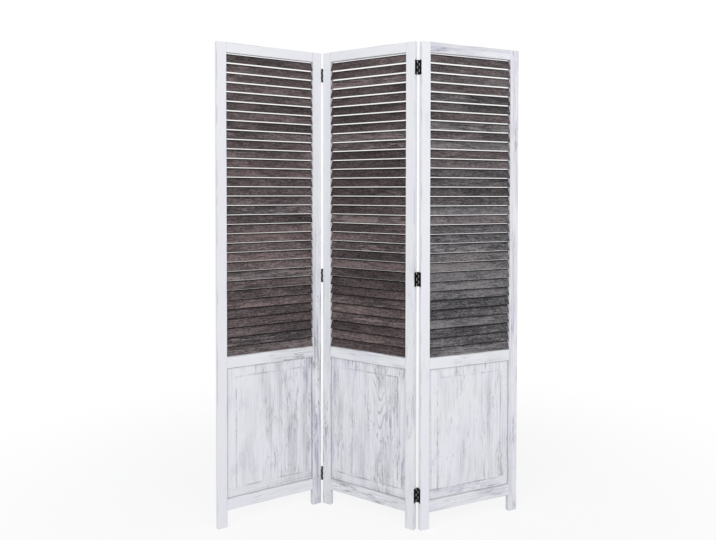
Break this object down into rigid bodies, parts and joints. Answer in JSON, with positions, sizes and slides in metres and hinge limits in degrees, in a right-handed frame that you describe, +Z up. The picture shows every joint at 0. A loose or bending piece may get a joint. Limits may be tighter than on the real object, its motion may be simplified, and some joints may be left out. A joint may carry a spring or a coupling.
{
  "type": "folding screen",
  "caption": "Louvred folding screen: framed panels with slatted upper parts over raised-field boards, joined by butt hinges and standing in a zigzag.",
  "frame": {"origin": "on the floor, under the centre of the bounding box of the screen as it stands", "axes": "+Z up; +X to the right and +Y away as seen from the front of the screen"},
  "size_m": [1.0796, 0.2322, 1.7],
  "materials": {
    "painted_frame": "whitewashed satin",
    "painted_board": "brushed whitewash",
    "stained_slats": "dark stained, matt",
    "dowel_wood": "plain",
    "black_hinge": "black satin"
  },
  "bodies": {
    "middle_panel": {"left_joint_centre_hinge_middle_leaf": "black_hinge", "left_joint_centre_hinge_pin": "black_hinge", "left_joint_lower_hinge_middle_leaf": "black_hinge", "left_joint_lower_hinge_pin": "black_hinge", "left_joint_middle_panel_hinge_screws": "black_hinge", "left_joint_upper_hinge_middle_leaf": "black_hinge", "left_joint_upper_hinge_pin": "black_hinge", "middle_panel_board": "painted_board", "middle_panel_bottom_rail": "painted_frame", "middle_panel_dowels": "dowel_wood", "middle_panel_left_stile": "painted_frame", "middle_panel_middle_rail": "painted_frame", "middle_panel_right_stile": "painted_frame", "middle_panel_slats": "stained_slats", "middle_panel_top_rail": "painted_frame", "right_joint_centre_hinge_middle_leaf": "black_hinge", "right_joint_lower_hinge_middle_leaf": "black_hinge", "right_joint_middle_panel_hinge_screws": "black_hinge", "right_joint_upper_hinge_middle_leaf": "black_hinge"},
    "left_panel": {"left_joint_centre_hinge_left_leaf": "black_hinge", "left_joint_left_panel_hinge_screws": "black_hinge", "left_joint_lower_hinge_left_leaf": "black_hinge", "left_joint_upper_hinge_left_leaf": "black_hinge", "left_panel_board": "painted_board", "left_panel_bottom_rail": "painted_frame", "left_panel_dowels": "dowel_wood", "left_panel_left_stile": "painted_frame", "left_panel_middle_rail": "painted_frame", "left_panel_right_stile": "painted_frame", "left_panel_slats": "stained_slats", "left_panel_top_rail": "painted_frame"},
    "right_panel": {"right_joint_centre_hinge_pin": "black_hinge", "right_joint_centre_hinge_right_leaf": "black_hinge", "right_joint_lower_hinge_pin": "black_hinge", "right_joint_lower_hinge_right_leaf": "black_hinge", "right_joint_right_panel_hinge_screws": "black_hinge", "right_joint_upper_hinge_pin": "black_hinge", "right_joint_upper_hinge_right_leaf": "black_hinge", "right_panel_board": "painted_board", "right_panel_bottom_rail": "painted_frame", "right_panel_dowels": "dowel_wood", "right_panel_left_stile": "painted_frame", "right_panel_middle_rail": "painted_frame", "right_panel_right_stile": "painted_frame", "right_panel_slats": "stained_slats", "right_panel_top_rail": "painted_frame"}
  },
  "joints": [
    {"name": "left_fold", "type": "hinge", "parent": "middle_panel", "child": "left_panel", "pos_m": [-0.18797, 0.10281, 0.865], "axis": [0, 0, 1], "range_deg": [-64.7, 115.3]},
    {"name": "right_fold", "type": "hinge", "parent": "middle_panel", "child": "right_panel", "pos_m": [0.16532, -0.10118, 0.8775], "axis": [0, 0, 1], "range_deg": [-57.3, 122.7]}
  ]
}
